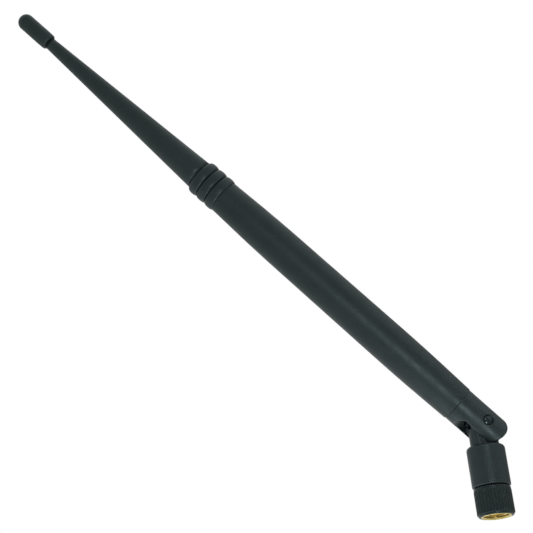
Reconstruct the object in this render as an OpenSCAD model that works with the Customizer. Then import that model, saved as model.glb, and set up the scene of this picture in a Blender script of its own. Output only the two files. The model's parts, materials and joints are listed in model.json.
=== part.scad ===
// Tilt-and-swivel omnidirectional antenna with a threaded coaxial plug, in millimetres.
// The origin is the centre of the coupling nut's mouth. +Z runs up the plug and the swivel barrel to
// the hinge. The hinge axis is parallel to Y, and the blade folds towards -X.

/* [Blade] */
// Length from the hinge axis to the tip
blade_len = 269; // [265:1:320]
// Length of the tip cap
cap_len = 17.6; // [16:0.1:22]
// Diameter of the tip cap
cap_d = 7.45; // [7:0.05:9]
// Diameter of the mast where it enters the tip cap
neck_d = 5.4; // [5:0.05:6]
// Diameter of the mast at the ring collar
mast_base_d = 13.5; // [12.6:0.1:14]
// Diameter of the lower sheath at the ring collar
sheath_top_d = 14.9; // [14.2:0.1:15.2]
// Height of the sheath's upper knee above the hinge
knee_z = 120.6; // [114:0.2:130]
// Diameter of the sheath at the knee
knee_d = 16.6; // [16:0.1:17]
// Height of the sheath's widest place above the hinge
belly_z = 38.4; // [36:0.2:60]
// Diameter of the sheath at its widest place
belly_d = 17.1; // [16.7:0.05:18]
// Diameter of the sheath at its foot
foot_d = 15.7; // [15.3:0.05:16]

/* [Ring collar] */
// Height of the collar's lower edge above the hinge
collar_z = 145.6; // [144:0.2:150]
// Number of rings
ring_count = 3; // [2:1:4]
// Distance from ring to ring
ring_pitch = 4.7; // [4:0.1:5]
// Diameter over the rings
ring_d = 16; // [15.6:0.1:16.4]

/* [Hinge] */
// Height of the hinge axis above the nut's mouth
hinge_h = 38; // [38:0.5:42]
// Angle between the blade and the barrel at rest
lean = 45; // [15:2.5:90]
// Diameter of the clevis
fork_d = 15.2; // [14.9:0.1:15.4]
// Height of the seam between clevis and sheath above the hinge
seam_z = 13.2; // [12.5:0.1:14]
// Radius of the ears' round ends about the hinge axis
ear_r = 8.9; // [8.5:0.05:9]
// Thickness of the tongue
tongue_t = 8.2; // [8:0.1:8.4]
// Radius of the tongue about the hinge axis, and of its neck
tongue_r = 5.85; // [5.6:0.05:5.9]
// Gap between the tongue and each ear, which holds a friction washer
ear_gap = 0.25; // [0.22:0.01:0.4]
// Shank diameter of the pivot studs
stud_d = 3.5; // [3.2:0.1:3.6]
// Radial running clearance of the moving fits
run_gap = 0.05; // [0.03:0.01:0.08]

/* [Swivel barrel] */
// Diameter of the barrel
barrel_d = 15.75; // [15.2:0.05:16]
// Height of the barrel's lower edge
barrel_z = 12; // [12:0.05:12.2]
// Distance from the hinge axis down to the barrel's shoulder
shoulder_drop = 7.1; // [7:0.05:7.4]

/* [Coupling nut] */
// Diameter over the ribs
nut_d = 15.2; // [14.9:0.05:15.5]
// Height of the nut
nut_h = 11.8; // [11.7:0.05:11.9]
// Number of ribs
rib_count = 36; // [24:1:40]
// Major diameter of the internal thread
thread_major_d = 11.11; // [11.05:0.01:11.2]
// Minor diameter of the internal thread
thread_minor_d = 10.16; // [10.1:0.01:10.3]
// Pitch of the internal thread
thread_pitch = 0.907; // [0.85:0.001:1]

/* [Plug] */
// Outer diameter of the contact sleeve
spigot_d = 8.06; // [7.9:0.01:8.2]
// Diameter of the plug body where the nut turns on it
hub_d = 9.9; // [9.8:0.05:10]
// Diameter of the stem that the barrel turns on
stem_d = 8.4; // [8.2:0.1:8.6]

/* [Radiators] */
// Length of the quarter-wave choke tube and of the lower radiator
quarter_len = 29; // [27:0.5:30]
// Length of the middle and of the upper radiator
half_len = 59; // [56:0.5:60]
// Length of each phasing coil
coil_len = 12; // [10:0.5:12]
// Turns in each phasing coil
coil_turns = 5; // [3:1:6]
// Mean radius of the phasing coils
coil_r = 2.4; // [2:0.1:2.6]
// Radius of the coil wire
wire_r = 0.45; // [0.35:0.05:0.45]

/* [Cable] */
// Diameter of the cable's jacket
jacket_d = 2.5; // [2.4:0.05:2.5]

/* [Hidden] */

fine = 96;       // facets of a full circle on visible round parts
plain = 48;      // facets of a full circle on inner parts
seat_gap = 0.02; // gap between pieces that are pressed or glued together
far = 40;        // reach of a cutting body past what it cuts

// Blade: radii, walls and heights above the hinge
fork_r = fork_d / 2;
cap_z = blade_len - cap_len;
collar_top = collar_z + ring_count * ring_pitch;
sheath_wall = 1.3;
mast_wall = 1.1;
mast_plug_r = 2.3;                 // the mast's end inside the tip cap
mast_plug_len = 10.5;
mast_bore_tip_r = 1.6;             // the mast's bore, just under the tip cap
clevis_spigot_r = 5.9;
clevis_spigot_top = 30;
collar_spigot_len = 8;
collar_bore_r = 4.6;
collar_low_spigot_r = sheath_top_d / 2 - sheath_wall - 0.05;

// Hinge
slot_half = tongue_t / 2 + ear_gap;
roof_r = tongue_r + 0.25;          // the slot's roof, and its arch for the neck when folded
flare_start = 3.9;                 // where the arch starts to flare, from the hinge axis
flare_end = 9;
flare_slope = 0.89;
slit_half = jacket_d / 2 + 0.25;   // the tongue's slit, which the cable swings in
stud_r = stud_d / 2;
recess_r = 2.25;                   // the ear's recess, with the stud's head in it
recess_y = 6.8;
stud_head_r = 2.0;
stud_head_t = 0.42;
detent_r = 0.8;                    // the notches that set the three positions
detent_centre = tongue_r + 0.4;
rib_r = 0.4;                       // the clevis's ribs that rest in a notch
washer_t = 0.18;
washer_r = 4.7;

// Barrel and plug: radii, and heights above the nut's mouth
barrel_r = barrel_d / 2;
barrel_top = hinge_h - shoulder_drop;
scoop_r = ear_r + 0.3;
hub_r = hub_d / 2;
hub_z = 6.8;
hub_top = barrel_z - 0.03;
stem_r = stem_d / 2;
stem_top = 19.3;
gasket_z = 5.6;
spigot_z = 1;
spigot_r = spigot_d / 2;
spigot_bore_r = 3.3;
nut_groove_z = 8.5;
nut_groove_h = 1.1;
nut_groove_r = 5.6;
swivel_groove_z = 16.9;
swivel_groove_h = 1.1;
swivel_groove_r = 4.9;
ring_t = 0.8;                      // thickness of both retaining rings
ring_side_gap = 0.05;
tail_r = 1.0;
tail_top = 24.5;

// Nut
nut_r = nut_d / 2;
insert_r = 6.2;
insert_top = 11;
rib_z = 0.95;
rib_top = 10.5;
rib_groove_r = 0.42;
thread_z = 0.6;
thread_top = 6.4;

// Cable radii, from the jacket inwards, and where the cable is parted at the hinge
jacket_r = jacket_d / 2;
braid_r = 0.98;
dielectric_r = 0.76;
conductor_r = 0.255;
hinge_part = 3.2;

// Heights of the radiating parts above the hinge
choke_z = 34;
choke_top = choke_z + quarter_len;
feed_top = choke_top + 3;
lower_top = feed_top + quarter_len;
middle_z = lower_top + coil_len;
middle_top = middle_z + half_len;
upper_z = middle_top + coil_len;
upper_top = upper_z + half_len;
rod_r = 0.9;

// A smooth bend from a to b around the corner c
function eased(a, c, b, steps) =
    [for (i = [0 : steps]) let (t = i / steps)
        (1 - t) * (1 - t) * a + 2 * t * (1 - t) * c + t * t * b];

// The point a fraction t of the way from a to b
function between(a, b, t) = a + t * (b - a);

// Radius of the sheath's bore at a height above the hinge
sheath_bore_r = belly_d / 2 - sheath_wall;
sheath_bore_top = 110;
sheath_mouth_r = sheath_top_d / 2 - sheath_wall;
function sheath_bore(z) =
    z < sheath_bore_top ? sheath_bore_r :
    sheath_bore_r + (sheath_mouth_r - sheath_bore_r) * (z - sheath_bore_top) / (collar_z - sheath_bore_top);

// Radius of the mast's bore at a height above the hinge
mast_bore_top = cap_z - 6;
mast_bore_r = mast_base_d / 2 - mast_wall;
function mast_bore(z) =
    mast_bore_r + (mast_bore_tip_r - mast_bore_r) * (z - collar_top) / (mast_bore_top - collar_top);

// Places children in the blade's own frame, with the hinge at its origin and the blade along +Z
module on_blade() {
    translate([0, 0, hinge_h]) rotate([0, -lean, 0]) children();
}

// A round tube or rod between two heights
module tube(r, bore, z0, z1) {
    difference() {
        translate([0, 0, z0]) cylinder(r = r, h = z1 - z0, $fn = plain);
        if (bore > 0) {
            translate([0, 0, z0 - 1]) cylinder(r = bore, h = z1 - z0 + 2, $fn = plain);
        }
    }
}

// Half outline of a round rod with rounded edges at its low and high ends
module rod_outline(r, z0, z1, low, high) {
    translate([0, z0 + low]) square([r, z1 - z0 - low - high]);
    translate([0, z0]) square([r - low, z1 - z0 - high]);
    translate([0, z0 + low]) square([r - high, z1 - z0 - low]);
    intersection() {
        translate([r - low, z0 + low]) circle(low, $fn = plain);
        translate([0, z0]) square([r, z1 - z0]);
    }
    intersection() {
        translate([r - high, z1 - high]) circle(high, $fn = plain);
        translate([0, z0]) square([r, z1 - z0]);
    }
}

// A cylinder along Y through the local origin
module cross_rod(r, half) {
    rotate([90, 0, 0]) cylinder(r = r, h = 2 * half, center = true, $fn = fine);
}

// A flat C-shaped retaining ring
module c_ring(r, bore, z, opening) {
    difference() {
        tube(r, bore, z, z + ring_t);
        translate([0, -opening / 2, z - 1]) cube([far, opening, ring_t + 2]);
    }
}

// A wire coil about Z between two heights, with legs to the axis
module coil(z0, z1) {
    sides = 8;
    steps = 18 * coil_turns;
    low = z0 + 1.4;
    rise = z1 - 1.4 - low;
    ring = [for (i = [0 : steps]) let (a = 360 * coil_turns * i / steps, z = low + rise * i / steps)
        for (j = [0 : sides - 1]) let (b = 360 * j / sides, r = coil_r + wire_r * cos(b))
            [r * cos(a), r * sin(a), z + wire_r * sin(b)]];
    wall = [for (i = [0 : steps - 1]) for (j = [0 : sides - 1]) let (k = (j + 1) % sides)
        [i * sides + j, i * sides + k, (i + 1) * sides + k, (i + 1) * sides + j]];
    first = [[for (j = [0 : sides - 1]) sides - 1 - j]];
    last = [[for (j = [0 : sides - 1]) steps * sides + j]];
    polyhedron(points = ring, faces = concat(wall, first, last), convexity = 10);
    for (z = [low, low + rise]) {
        translate([-wire_r, 0, z]) rotate([0, 90, 0]) {
            cylinder(r = wire_r * 1.04, h = coil_r + 2 * wire_r, $fn = 24);
        }
    }
    translate([0, 0, z0 - 1]) cylinder(r = wire_r, h = low - z0 + 1, $fn = 24);
    translate([0, 0, low + rise]) cylinder(r = wire_r, h = z1 + 1 - low - rise, $fn = 24);
}

// ---- Blade ----

module tip_cap() {
    color([0.15, 0.18, 0.18]) on_blade() difference() {
        rotate_extrude($fn = fine) rod_outline(cap_d / 2, cap_z, blade_len, 0.9, 2.9);
        translate([0, 0, cap_z - 1]) {
            cylinder(r = mast_plug_r + seat_gap, h = mast_plug_len + 1.5, $fn = fine);
        }
    }
}

module upper_mast() {
    color([0.16, 0.19, 0.2]) on_blade() difference() {
        union() {
            translate([0, 0, collar_top]) {
                cylinder(r1 = mast_base_d / 2, r2 = neck_d / 2, h = cap_z - collar_top, $fn = fine);
            }
            translate([0, 0, cap_z]) cylinder(r = mast_plug_r, h = mast_plug_len, $fn = fine);
        }
        translate([0, 0, collar_top]) {
            cylinder(r1 = mast_bore_r, r2 = mast_bore_tip_r, h = mast_bore_top - collar_top, $fn = fine);
        }
    }
}

module ring_collar() {
    ring_bulge_r = 4;
    ring_r = ring_d / 2;
    groove_r = ring_r - 0.75;
    color([0.15, 0.18, 0.18]) on_blade() difference() {
        union() {
            tube(groove_r, 0, collar_z, collar_top);
            for (i = [0 : ring_count - 1]) {
                rotate_extrude($fn = fine) translate([0, collar_z + i * ring_pitch]) intersection() {
                    translate([ring_r - ring_bulge_r, ring_pitch / 2]) circle(ring_bulge_r, $fn = fine);
                    translate([0, 0.12]) square([far, ring_pitch - 0.24]);
                }
            }
            tube(collar_low_spigot_r, 0, collar_z - collar_spigot_len, collar_z);
            translate([0, 0, collar_top]) {
                cylinder(
                    r1 = mast_bore(collar_top) - 0.03,
                    r2 = mast_bore(collar_top + collar_spigot_len) - 0.03,
                    h = collar_spigot_len, $fn = plain
                );
            }
        }
        translate([0, 0, collar_z - far]) cylinder(r = collar_bore_r, h = 2 * far, $fn = plain);
    }
}

module lower_sheath() {
    ease_len = 12;
    foot = [foot_d / 2, seam_z];
    belly = [belly_d / 2, belly_z];
    knee = [knee_d / 2, knee_z];
    top = [sheath_top_d / 2, collar_z];
    low_t = ease_len / (belly_z - seam_z);
    mid_t = ease_len / (knee_z - belly_z);
    high_t = ease_len / (collar_z - knee_z);
    outline = concat(
        [foot],
        eased(between(belly, foot, low_t), belly, between(belly, knee, mid_t), 6),
        eased(between(knee, belly, mid_t), knee, between(knee, top, high_t), 6),
        [top],
        [[sheath_mouth_r, collar_z]],
        [[sheath_bore_r, sheath_bore_top]],
        [[sheath_bore_r, clevis_spigot_top + 1]],
        [[clevis_spigot_r + seat_gap, clevis_spigot_top + 0.5]],
        [[clevis_spigot_r + seat_gap, seam_z]]
    );
    color([0.16, 0.19, 0.2]) on_blade() rotate_extrude($fn = fine) polygon(outline);
}

// What the tongue, its neck and the barrel's shoulder need, cut from between the ears
module fork_slot() {
    intersection() {
        cube([4 * far, 2 * slot_half, 4 * far], center = true);
        union() {
            cross_rod(roof_r, far);
            rotate([0, -90, 0]) cylinder(r = roof_r, h = far, $fn = fine);
            translate([-flare_start, 0, 0]) rotate([0, -90, 0]) {
                cylinder(
                    r1 = roof_r,
                    r2 = roof_r + (flare_end - flare_start) * flare_slope,
                    h = flare_end - flare_start, $fn = fine
                );
            }
            translate([-far, -far, -far]) cube([far + roof_r, 2 * far, far]);
        }
    }
}

// What lies below the hinge axis and outside the ears' round ends
module ear_ends() {
    rotate([90, 0, 0]) linear_extrude(2 * far, center = true) difference() {
        translate([-far, -far]) square([2 * far, far]);
        circle(ear_r, $fn = fine);
    }
}

// Two ribs in the slot's roof, which rest in the tongue's notches
module detent_ribs() {
    rib_half = (slot_half - slit_half) / 2;
    for (side = [-1, 1]) {
        translate([0, side * (slit_half + rib_half), roof_r + rib_r / 2]) cross_rod(rib_r, rib_half);
    }
}

module clevis() {
    color([0.16, 0.19, 0.2]) on_blade() {
        clevis_body();
        detent_ribs();
    }
}

module clevis_body() {
    difference() {
        union() {
            tube(fork_r, 0, -ear_r - 1, seam_z);
            tube(clevis_spigot_r, 0, seam_z, clevis_spigot_top);
        }
        fork_slot();
        ear_ends();
        cylinder(r = slit_half, h = far, $fn = plain);
        translate([0, 0, 16]) cylinder(r = 4, h = far, $fn = plain);
        cross_rod(stud_r + 0.005, far);
        for (side = [-1, 1]) {
            translate([0, side * (recess_y + far / 2), 0]) cross_rod(recess_r, far / 2);
        }
    }
}

module pivot_studs() {
    color([0.12, 0.14, 0.15]) on_blade() for (side = [0, 180]) {
        rotate([0, 0, side]) rotate([-90, 0, 0]) rotate_extrude($fn = fine) {
            translate([0, slit_half + 0.1]) square([stud_r, recess_y - slit_half]);
            translate([0, recess_y]) square([stud_head_r, 0.14]);
            translate([0, recess_y + 0.14]) intersection() {
                translate([0, stud_head_t - 0.14 - 6]) circle(6, $fn = fine);
                square([stud_head_r, 1]);
            }
        }
    }
}

module choke_tube() {
    color([0.78, 0.6, 0.3]) on_blade() {
        difference() {
            tube(3.6, 0, choke_z, choke_top);
            translate([0, 0, choke_z - 1]) cylinder(r = 3.2, h = quarter_len, $fn = plain);
            translate([0, 0, choke_z]) cylinder(r = braid_r + seat_gap, h = far, $fn = plain);
        }
    }
}

module feed_ferrule() {
    color([0.75, 0.72, 0.62]) on_blade() {
        tube(1.5, braid_r + seat_gap, choke_top - 7.5, choke_top - 1.05);
    }
}

module feed_insulator() {
    color([0.93, 0.93, 0.9]) on_blade() difference() {
        tube(3.2, 0, choke_top + seat_gap, feed_top);
        translate([0, 0, choke_top]) cylinder(r = dielectric_r + seat_gap, h = 1.5, $fn = plain);
        translate([0, 0, choke_top]) cylinder(r = conductor_r + seat_gap, h = far, $fn = plain);
    }
}

module lower_radiator() {
    color([0.78, 0.6, 0.3]) on_blade() difference() {
        union() {
            tube(rod_r, 0, feed_top + seat_gap, lower_top);
            tube(2.4, 0, feed_top + seat_gap, feed_top + 0.8);
        }
        translate([0, 0, feed_top]) cylinder(r = conductor_r + seat_gap, h = 2.3, $fn = plain);
        translate([0, 0, lower_top - 1.1]) cylinder(r = wire_r + seat_gap, h = 2, $fn = plain);
    }
}

module lower_phasing_coil() {
    color([0.75, 0.42, 0.25]) on_blade() coil(lower_top, middle_z);
}

module middle_radiator() {
    color([0.78, 0.6, 0.3]) on_blade() difference() {
        tube(rod_r, 0, middle_z, middle_top);
        translate([0, 0, middle_z - 1]) cylinder(r = wire_r + seat_gap, h = 2.1, $fn = plain);
        translate([0, 0, middle_top - 1.1]) cylinder(r = wire_r + seat_gap, h = 2, $fn = plain);
    }
}

module upper_phasing_coil() {
    color([0.75, 0.42, 0.25]) on_blade() coil(middle_top, upper_z);
}

module upper_radiator() {
    color([0.78, 0.6, 0.3]) on_blade() difference() {
        tube(rod_r, 0, upper_z, upper_top);
        translate([0, 0, upper_z - 1]) cylinder(r = wire_r + seat_gap, h = 2.1, $fn = plain);
    }
}

// A centring disc from a height to a height: its rim touches the bore, its hole fits the rod or tube
module centring_disc(z, rim, hole) {
    tube(rim - 0.05, hole + 0.03, z, z + 3);
}

module centring_discs() {
    color([0.85, 0.85, 0.82]) on_blade() {
        for (z = [choke_z + 4, choke_top - 6]) centring_disc(z, sheath_bore_r, 3.6);
        for (z = [feed_top + 14]) centring_disc(z, sheath_bore_r, rod_r);
        for (z = [middle_z + 6, middle_z + 22]) centring_disc(z, sheath_bore(z + 3), rod_r);
        for (z = [collar_z + 4]) centring_disc(z, collar_bore_r, rod_r);
        for (z = [upper_z + 10, upper_z + 34]) centring_disc(z, mast_bore(z + 3), rod_r);
    }
}

module cable_grommet() {
    color([0.2, 0.2, 0.2]) on_blade() tube(3.97, jacket_r + seat_gap, 21, 28);
}

module blade_cable_jacket() {
    color([0.35, 0.24, 0.16]) on_blade() tube(jacket_r, braid_r + seat_gap, hinge_part, choke_top - 9);
}

module blade_cable_braid() {
    color([0.75, 0.75, 0.72]) on_blade() tube(braid_r, dielectric_r + seat_gap, hinge_part, choke_top);
}

module blade_cable_dielectric() {
    color([0.95, 0.95, 0.93]) on_blade() {
        tube(dielectric_r, conductor_r + 0.01, hinge_part, choke_top + 1.4);
    }
}

module blade_cable_conductor() {
    color([0.8, 0.72, 0.55]) on_blade() tube(conductor_r, 0, hinge_part, feed_top + 2.2);
}

// ---- Swivel barrel ----

module tongue_notches() {
    for (tilt = [0, 45, 90]) {
        rotate([0, -tilt, 0]) translate([0, 0, detent_centre]) cross_rod(detent_r, tongue_t);
    }
}

module swivel_barrel() {
    color([0.16, 0.19, 0.2]) difference() {
        union() {
            difference() {
                rotate_extrude($fn = fine) rod_outline(barrel_r, barrel_z, barrel_top, 0.9, 1.6);
                translate([0, 0, hinge_h]) cross_rod(scoop_r, far);
            }
            translate([0, 0, hinge_h]) intersection() {
                union() {
                    cross_rod(tongue_r, tongue_t);
                    translate([0, 0, -scoop_r - 1.5]) {
                        cylinder(r = tongue_r, h = scoop_r + 1.5, $fn = fine);
                    }
                }
                cube([far, tongue_t, far], center = true);
            }
        }
        translate([0, 0, barrel_z - 1]) {
            cylinder(r = stem_r + run_gap, h = stem_top + 0.2 - barrel_z + 1, $fn = fine);
        }
        tube(swivel_groove_r, 0, swivel_groove_z, swivel_groove_z + swivel_groove_h);
        translate([0, 0, stem_top]) cylinder(r = 3, h = 8.2, $fn = plain);
        translate([0, 0, stem_top]) cylinder(r = slit_half, h = hinge_h - stem_top, $fn = plain);
        translate([-far, -slit_half, hinge_h - slit_half - 0.3]) {
            cube([far + slit_half, 2 * slit_half, far]);
        }
        translate([0, 0, hinge_h]) cross_rod(stud_r + run_gap, far);
        translate([0, 0, hinge_h]) tongue_notches();
    }
}

module friction_washers() {
    washer_y = (tongue_t + ear_gap - washer_t) / 2;
    color([0.7, 0.71, 0.72]) for (side = [-1, 1]) {
        translate([0, side * (washer_y + washer_t / 2), hinge_h]) difference() {
            cross_rod(washer_r, washer_t / 2);
            cross_rod(stud_r + run_gap, far);
        }
    }
}

// The short bent length of cable at the hinge, tangent to the barrel's axis and to the blade
module cable_bend() {
    leg = hinge_part - 0.1;
    bend_r = leg / tan(lean / 2);
    color([0.35, 0.24, 0.16]) translate([-bend_r, 0, hinge_h - leg]) rotate([90, 0, 0]) {
        rotate_extrude(angle = lean, $fn = fine) translate([bend_r, 0]) circle(jacket_r, $fn = plain);
    }
}

// ---- Plug ----

module plug_body() {
    outline = [
        [spigot_bore_r, spigot_z],
        [spigot_r - 0.15, spigot_z],
        [spigot_r, spigot_z + 0.15],
        [spigot_r, gasket_z],
        [spigot_r + 0.3, gasket_z],
        [spigot_r + 0.3, hub_z],
        [hub_r, hub_z],
        [hub_r, nut_groove_z + ring_side_gap],
        [hub_r - 0.6, nut_groove_z + ring_side_gap],
        [hub_r - 0.6, nut_groove_z + nut_groove_h - ring_side_gap],
        [hub_r, nut_groove_z + nut_groove_h - ring_side_gap],
        [hub_r, hub_top],
        [stem_r, hub_top],
        [stem_r, swivel_groove_z + ring_side_gap],
        [stem_r - 0.6, swivel_groove_z + ring_side_gap],
        [stem_r - 0.6, swivel_groove_z + swivel_groove_h - ring_side_gap],
        [stem_r, swivel_groove_z + swivel_groove_h - ring_side_gap],
        [stem_r, stem_top - 0.3],
        [stem_r - 0.3, stem_top],
        [tail_r, stem_top],
        [tail_r, tail_top],
        [dielectric_r + seat_gap, tail_top],
        [dielectric_r + seat_gap, 15],
        [2.4, 15],
        [2.4, 9],
        [spigot_bore_r, 9]
    ];
    color([0.83, 0.68, 0.32]) rotate_extrude($fn = fine) polygon(outline);
}

module plug_insulator() {
    color([0.95, 0.95, 0.93]) difference() {
        union() {
            tube(spigot_bore_r - seat_gap, 0, 2.6, 9 - seat_gap);
            tube(2.4 - seat_gap, 0, 9 - 2 * seat_gap, 15 - seat_gap);
        }
        translate([0, 0, 1]) cylinder(r = 0.95 + seat_gap, h = 12.6, $fn = plain);
        translate([0, 0, 1]) cylinder(r = dielectric_r + seat_gap, h = far, $fn = plain);
    }
}

module centre_contact() {
    color([0.86, 0.72, 0.36]) difference() {
        tube(0.95, 0, 2.2, 13.5);
        translate([0, 0, 1]) cylinder(r = 0.68, h = 6.2, $fn = plain);
        translate([0, 0, 11.4]) cylinder(r = conductor_r + seat_gap, h = far, $fn = plain);
        for (turn = [0, 90]) {
            rotate([0, 0, turn]) translate([-2, -0.12, 1]) cube([4, 0.24, 3.8]);
        }
    }
}

module plug_gasket() {
    color([0.6, 0.25, 0.2]) tube(4.95, spigot_r + 0.32, gasket_z + 0.1, hub_z - seat_gap);
}

module nut_retaining_ring() {
    color([0.7, 0.71, 0.72]) c_ring(nut_groove_r - 0.1, hub_r - 0.55, nut_groove_z + 0.15, 2.4);
}

module swivel_retaining_ring() {
    color([0.7, 0.71, 0.72]) c_ring(swivel_groove_r - 0.1, stem_r - 0.55, swivel_groove_z + 0.15, 2.2);
}

module tail_ferrule() {
    color([0.83, 0.68, 0.32]) tube(1.66, 1.25, stem_top + 0.3, tail_top + 0.7);
}

module tail_sleeve() {
    color([0.12, 0.12, 0.12]) rotate_extrude($fn = plain) polygon([
        [1.68, stem_top + 0.8],
        [1.98, stem_top + 0.8],
        [1.98, tail_top + 1.2],
        [1.6, tail_top + 2],
        [1.6, tail_top + 3],
        [jacket_r + seat_gap, tail_top + 3],
        [jacket_r + seat_gap, tail_top + 1.3],
        [1.68, tail_top + 0.8]
    ]);
}

module plug_cable_jacket() {
    color([0.35, 0.24, 0.16]) tube(jacket_r, braid_r + seat_gap, tail_top + 1.1, hinge_h - hinge_part);
}

module plug_cable_braid() {
    flare_r = tail_r + seat_gap;
    flare_top = tail_top + 0.05;
    color([0.75, 0.75, 0.72]) rotate_extrude($fn = plain) polygon([
        [flare_r, stem_top + 0.2],
        [flare_r + 0.2, stem_top + 0.2],
        [flare_r + 0.2, flare_top],
        [braid_r, flare_top + 0.9],
        [braid_r, hinge_h - hinge_part],
        [dielectric_r + seat_gap, hinge_h - hinge_part],
        [dielectric_r + seat_gap, flare_top + 0.9],
        [flare_r, flare_top]
    ]);
}

module plug_cable_dielectric() {
    color([0.95, 0.95, 0.93]) tube(dielectric_r, conductor_r + 0.01, 13.65, hinge_h - hinge_part);
}

module plug_cable_conductor() {
    color([0.8, 0.72, 0.55]) tube(conductor_r, 0, 11.5, hinge_h - hinge_part);
}

// ---- Coupling nut ----

module nut_grip() {
    mouth_z = 0.15;
    bore = insert_r + seat_gap;
    mouth = [
        [bore, mouth_z],
        [nut_r - 0.95, mouth_z],
        [nut_r - 0.4, mouth_z + 0.55],
        [nut_r - 0.4, rib_z],
        [bore, rib_z]
    ];
    collar = [
        [bore, rib_top],
        [nut_r - 0.1, rib_top],
        [nut_r - 0.1, nut_h - 0.4],
        [nut_r - 0.5, nut_h],
        [hub_r + 0.3, nut_h],
        [hub_r + 0.3, insert_top + seat_gap],
        [bore, insert_top + seat_gap]
    ];
    color([0.12, 0.15, 0.16]) {
        rotate_extrude($fn = fine) polygon(mouth);
        translate([0, 0, rib_z]) linear_extrude(rib_top - rib_z) difference() {
            circle(nut_r, $fn = fine);
            circle(bore, $fn = fine);
            for (i = [0 : rib_count - 1]) {
                rotate(360 * i / rib_count) translate([nut_r + 0.15, 0]) circle(rib_groove_r, $fn = 24);
            }
        }
        rotate_extrude($fn = fine) polygon(collar);
    }
}

module nut_insert() {
    turns = floor((thread_top - thread_z) / thread_pitch);
    major_r = thread_major_d / 2;
    minor_r = thread_minor_d / 2;
    crest = thread_pitch / 8;
    thread = [for (i = [0 : turns - 1]) let (z = thread_z + 0.1 + i * thread_pitch) each [
        [minor_r, z],
        [major_r, z + thread_pitch / 2 - crest / 2],
        [major_r, z + thread_pitch / 2 + crest / 2],
        [minor_r, z + thread_pitch - crest]
    ]];
    outline = concat(
        [[insert_r, insert_top], [insert_r, 0.2], [insert_r - 0.2, 0], [major_r + 0.25, 0]],
        [[minor_r, thread_z - 0.05]],
        thread,
        [[minor_r, thread_top], [major_r + 0.15, thread_top + 0.4], [major_r + 0.15, 7.2]],
        [[hub_r + run_gap, 7.2], [hub_r + run_gap, nut_groove_z], [nut_groove_r, nut_groove_z]],
        [[nut_groove_r, nut_groove_z + nut_groove_h], [hub_r + run_gap, nut_groove_z + nut_groove_h]],
        [[hub_r + run_gap, insert_top]]
    );
    color([0.85, 0.7, 0.34]) rotate_extrude($fn = fine) polygon(outline);
}

tip_cap();
upper_mast();
ring_collar();
lower_sheath();
clevis();
pivot_studs();
choke_tube();
feed_ferrule();
feed_insulator();
lower_radiator();
lower_phasing_coil();
middle_radiator();
upper_phasing_coil();
upper_radiator();
centring_discs();
cable_grommet();
blade_cable_jacket();
blade_cable_braid();
blade_cable_dielectric();
blade_cable_conductor();
swivel_barrel();
friction_washers();
cable_bend();
plug_body();
plug_insulator();
centre_contact();
plug_gasket();
nut_retaining_ring();
swivel_retaining_ring();
tail_ferrule();
tail_sleeve();
plug_cable_jacket();
plug_cable_braid();
plug_cable_dielectric();
plug_cable_conductor();
nut_grip();
nut_insert();
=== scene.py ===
import json
import math
from itertools import product

import bpy
import numpy as np
from mathutils import Matrix, Vector
from mathutils.bvhtree import BVHTree


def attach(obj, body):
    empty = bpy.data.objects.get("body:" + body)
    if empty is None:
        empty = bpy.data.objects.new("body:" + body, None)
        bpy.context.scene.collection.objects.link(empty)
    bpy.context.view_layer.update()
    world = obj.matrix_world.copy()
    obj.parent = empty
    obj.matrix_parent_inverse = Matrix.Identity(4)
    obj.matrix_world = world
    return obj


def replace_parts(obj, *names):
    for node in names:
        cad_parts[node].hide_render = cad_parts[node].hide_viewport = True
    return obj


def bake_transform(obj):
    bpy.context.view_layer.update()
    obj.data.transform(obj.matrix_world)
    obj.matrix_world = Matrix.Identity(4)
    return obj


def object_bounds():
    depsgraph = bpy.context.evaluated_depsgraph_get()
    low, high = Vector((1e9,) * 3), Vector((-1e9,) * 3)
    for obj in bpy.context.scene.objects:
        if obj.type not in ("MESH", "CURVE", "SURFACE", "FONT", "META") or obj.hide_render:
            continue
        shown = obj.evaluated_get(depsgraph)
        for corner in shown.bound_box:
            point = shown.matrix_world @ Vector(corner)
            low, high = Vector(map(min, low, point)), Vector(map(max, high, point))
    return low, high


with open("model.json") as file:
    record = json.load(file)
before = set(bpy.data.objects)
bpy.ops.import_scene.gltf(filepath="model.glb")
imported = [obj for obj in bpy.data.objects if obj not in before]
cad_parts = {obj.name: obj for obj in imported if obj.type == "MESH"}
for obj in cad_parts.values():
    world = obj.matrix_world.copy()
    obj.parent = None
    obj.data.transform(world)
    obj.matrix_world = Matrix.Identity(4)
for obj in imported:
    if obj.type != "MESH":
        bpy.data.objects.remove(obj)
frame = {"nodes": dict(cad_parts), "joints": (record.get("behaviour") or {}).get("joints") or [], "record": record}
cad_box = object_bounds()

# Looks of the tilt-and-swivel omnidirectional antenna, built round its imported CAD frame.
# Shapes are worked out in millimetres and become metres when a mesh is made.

MM = 0.001
SEGMENTS = 192        # round a turned piece
FAR = 100.0           # outside every piece, in millimetres
GUARD = 0.12          # distance from a rounded edge to the next ring of points


# ---- Local frames, and sizes measured on the CAD nodes ----

class Axis:
    """A local frame with its Z along a piece's axis and its Y parallel to the hinge axis."""

    def __init__(self, origin, along):
        z = np.array(along, float) / np.linalg.norm(along)
        y = np.array([0.0, 1.0, 0.0])
        self.origin = np.array(origin, float)
        self.rows = np.array([np.cross(y, z), y, z])

    def local(self, points):
        return (np.asarray(points, float) - self.origin) @ self.rows.T

    def placed(self, points):
        return np.asarray(points, float) @ self.rows + self.origin


def node_points(node):
    vertices = frame["nodes"][node].data.vertices
    flat = np.empty(len(vertices) * 3, np.float32)
    vertices.foreach_get("co", flat)
    return flat.reshape(-1, 3).astype(float) / MM


trees = {}


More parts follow.
